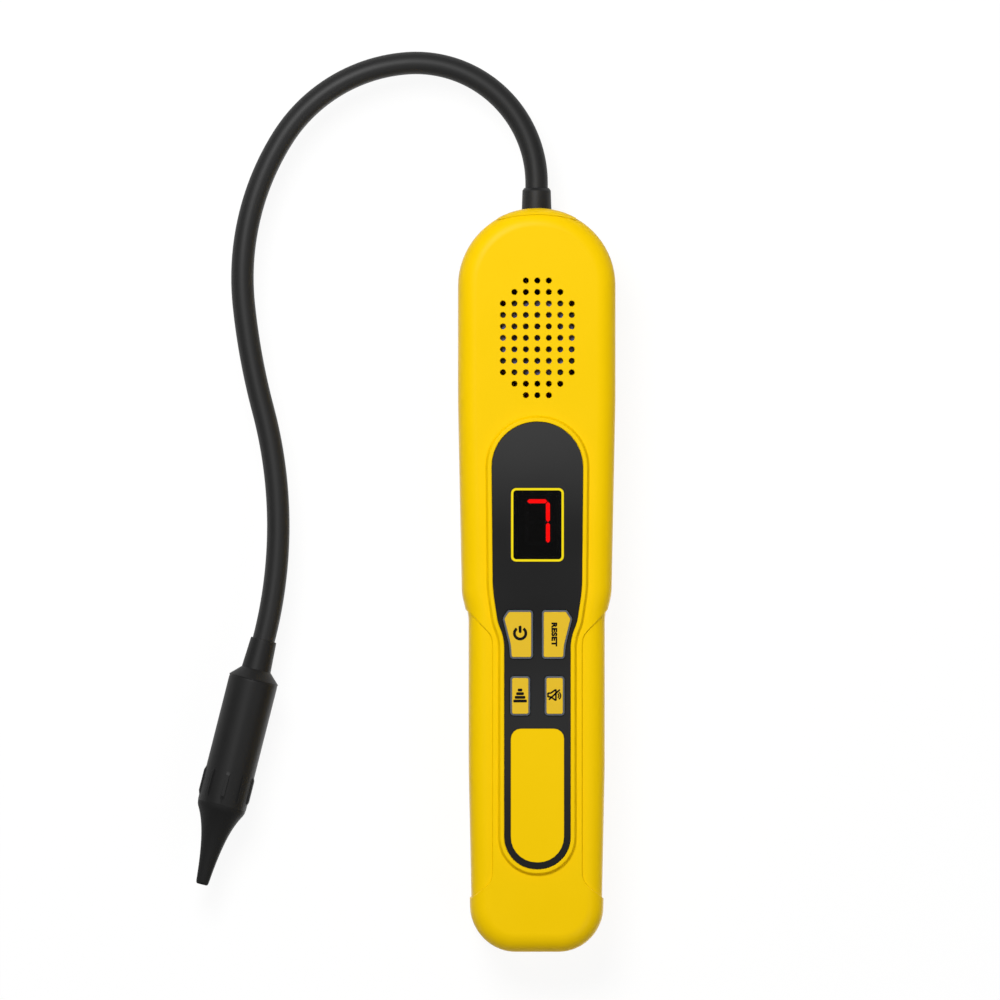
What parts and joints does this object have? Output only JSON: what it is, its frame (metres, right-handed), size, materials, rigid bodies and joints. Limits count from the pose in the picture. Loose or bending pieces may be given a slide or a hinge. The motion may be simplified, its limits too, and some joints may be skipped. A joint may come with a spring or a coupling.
{
  "type": "refrigerant leak detector",
  "caption": "Hand-held refrigerant leak detector: yellow casing with grille, digit display and keys, and a black gooseneck with a pointed sensor head.",
  "frame": {"origin": "middle of the casing's length and width, on the flat back that it lies on", "axes": "+X to the right in the picture, +Y along the casing towards the gooseneck, +Z out of the front face"},
  "size_m": [0.1354, 0.2909, 0.0337],
  "materials": {
    "yellow_moulding": "satin",
    "key_yellow": "satin",
    "black_plastic": "satin",
    "black_sleeve": "matte",
    "dark_overlay": "satin",
    "dark_pane": "gloss",
    "lit_red": "lit",
    "unlit_grey": "satin",
    "white_plastic": "satin",
    "cone_paper": "matte",
    "board": "satin",
    "spring_steel": "brushed",
    "brass": "satin",
    "red_wire": "satin",
    "cell_wrap": "satin"
  },
  "bodies": {
    "casing": {"front_shell": "yellow_moulding", "rear_shell": "yellow_moulding", "neck_cap": "yellow_moulding", "neck_nut": "brass", "neck_collar": "black_plastic", "gooseneck_sleeve": "black_sleeve", "gooseneck_core": "spring_steel", "keypad_overlay": "dark_overlay", "badge_plate": "yellow_moulding", "display_window": "dark_pane", "display_module": "dark_pane", "lit_segments": "lit_red", "dark_segments": "unlit_grey", "switch_power": "black_plastic", "switch_reset": "black_plastic", "switch_level": "black_plastic", "switch_mute": "black_plastic", "circuit_board": "board", "controller_chip": "black_plastic", "lead_header": "white_plastic", "board_screws": "spring_steel", "speaker_frame": "black_plastic", "speaker_cone": "cone_paper", "case_screws": "spring_steel", "battery_tray": "black_plastic", "cell_1": "cell_wrap", "cell_2": "cell_wrap", "cell_3": "cell_wrap", "cell_4": "cell_wrap", "contact_bridge": "spring_steel", "contact_leaf_left": "spring_steel", "contact_leaf_right": "spring_steel", "sensor_lead": "black_sleeve", "speaker_leads": "red_wire", "battery_leads": "red_wire"},
    "power_key": {"key_power": "key_yellow", "plunger_power": "black_plastic"},
    "reset_key": {"key_reset": "key_yellow", "plunger_reset": "black_plastic"},
    "level_key": {"key_level": "key_yellow", "plunger_level": "black_plastic"},
    "mute_key": {"key_mute": "key_yellow", "plunger_mute": "black_plastic"},
    "door": {"battery_door": "yellow_moulding"},
    "sensor_head": {"probe_boot": "black_sleeve", "probe_housing": "black_plastic", "nozzle_tip": "black_plastic", "sensor_can": "spring_steel", "sensor_base": "black_plastic"}
  },
  "joints": [
    {"name": "power_press", "type": "slide", "parent": "casing", "child": "power_key", "axis": [0, 0, -1], "range_m": [0, 0.0005], "stiffness_N_per_m": 400, "springref_m": -0.0005},
    {"name": "reset_press", "type": "slide", "parent": "casing", "child": "reset_key", "axis": [0, 0, -1], "range_m": [0, 0.0005], "stiffness_N_per_m": 400, "springref_m": -0.0005},
    {"name": "level_press", "type": "slide", "parent": "casing", "child": "level_key", "axis": [0, 0, -1], "range_m": [0, 0.0005], "stiffness_N_per_m": 400, "springref_m": -0.0005},
    {"name": "mute_press", "type": "slide", "parent": "casing", "child": "mute_key", "axis": [0, 0, -1], "range_m": [0, 0.0005], "stiffness_N_per_m": 400, "springref_m": -0.0005},
    {"name": "door_slide", "type": "slide", "parent": "casing", "child": "door", "axis": [0, -1, 0], "range_m": [0, 0.122]},
    {"name": "gooseneck_bend", "type": "hinge", "parent": "casing", "child": "sensor_head", "pos_m": [-0.039, 0.1673, 0.016], "axis": [0, 0, 1], "range_deg": [-60, 12], "deforming": ["gooseneck_sleeve", "gooseneck_core"]}
  ]
}
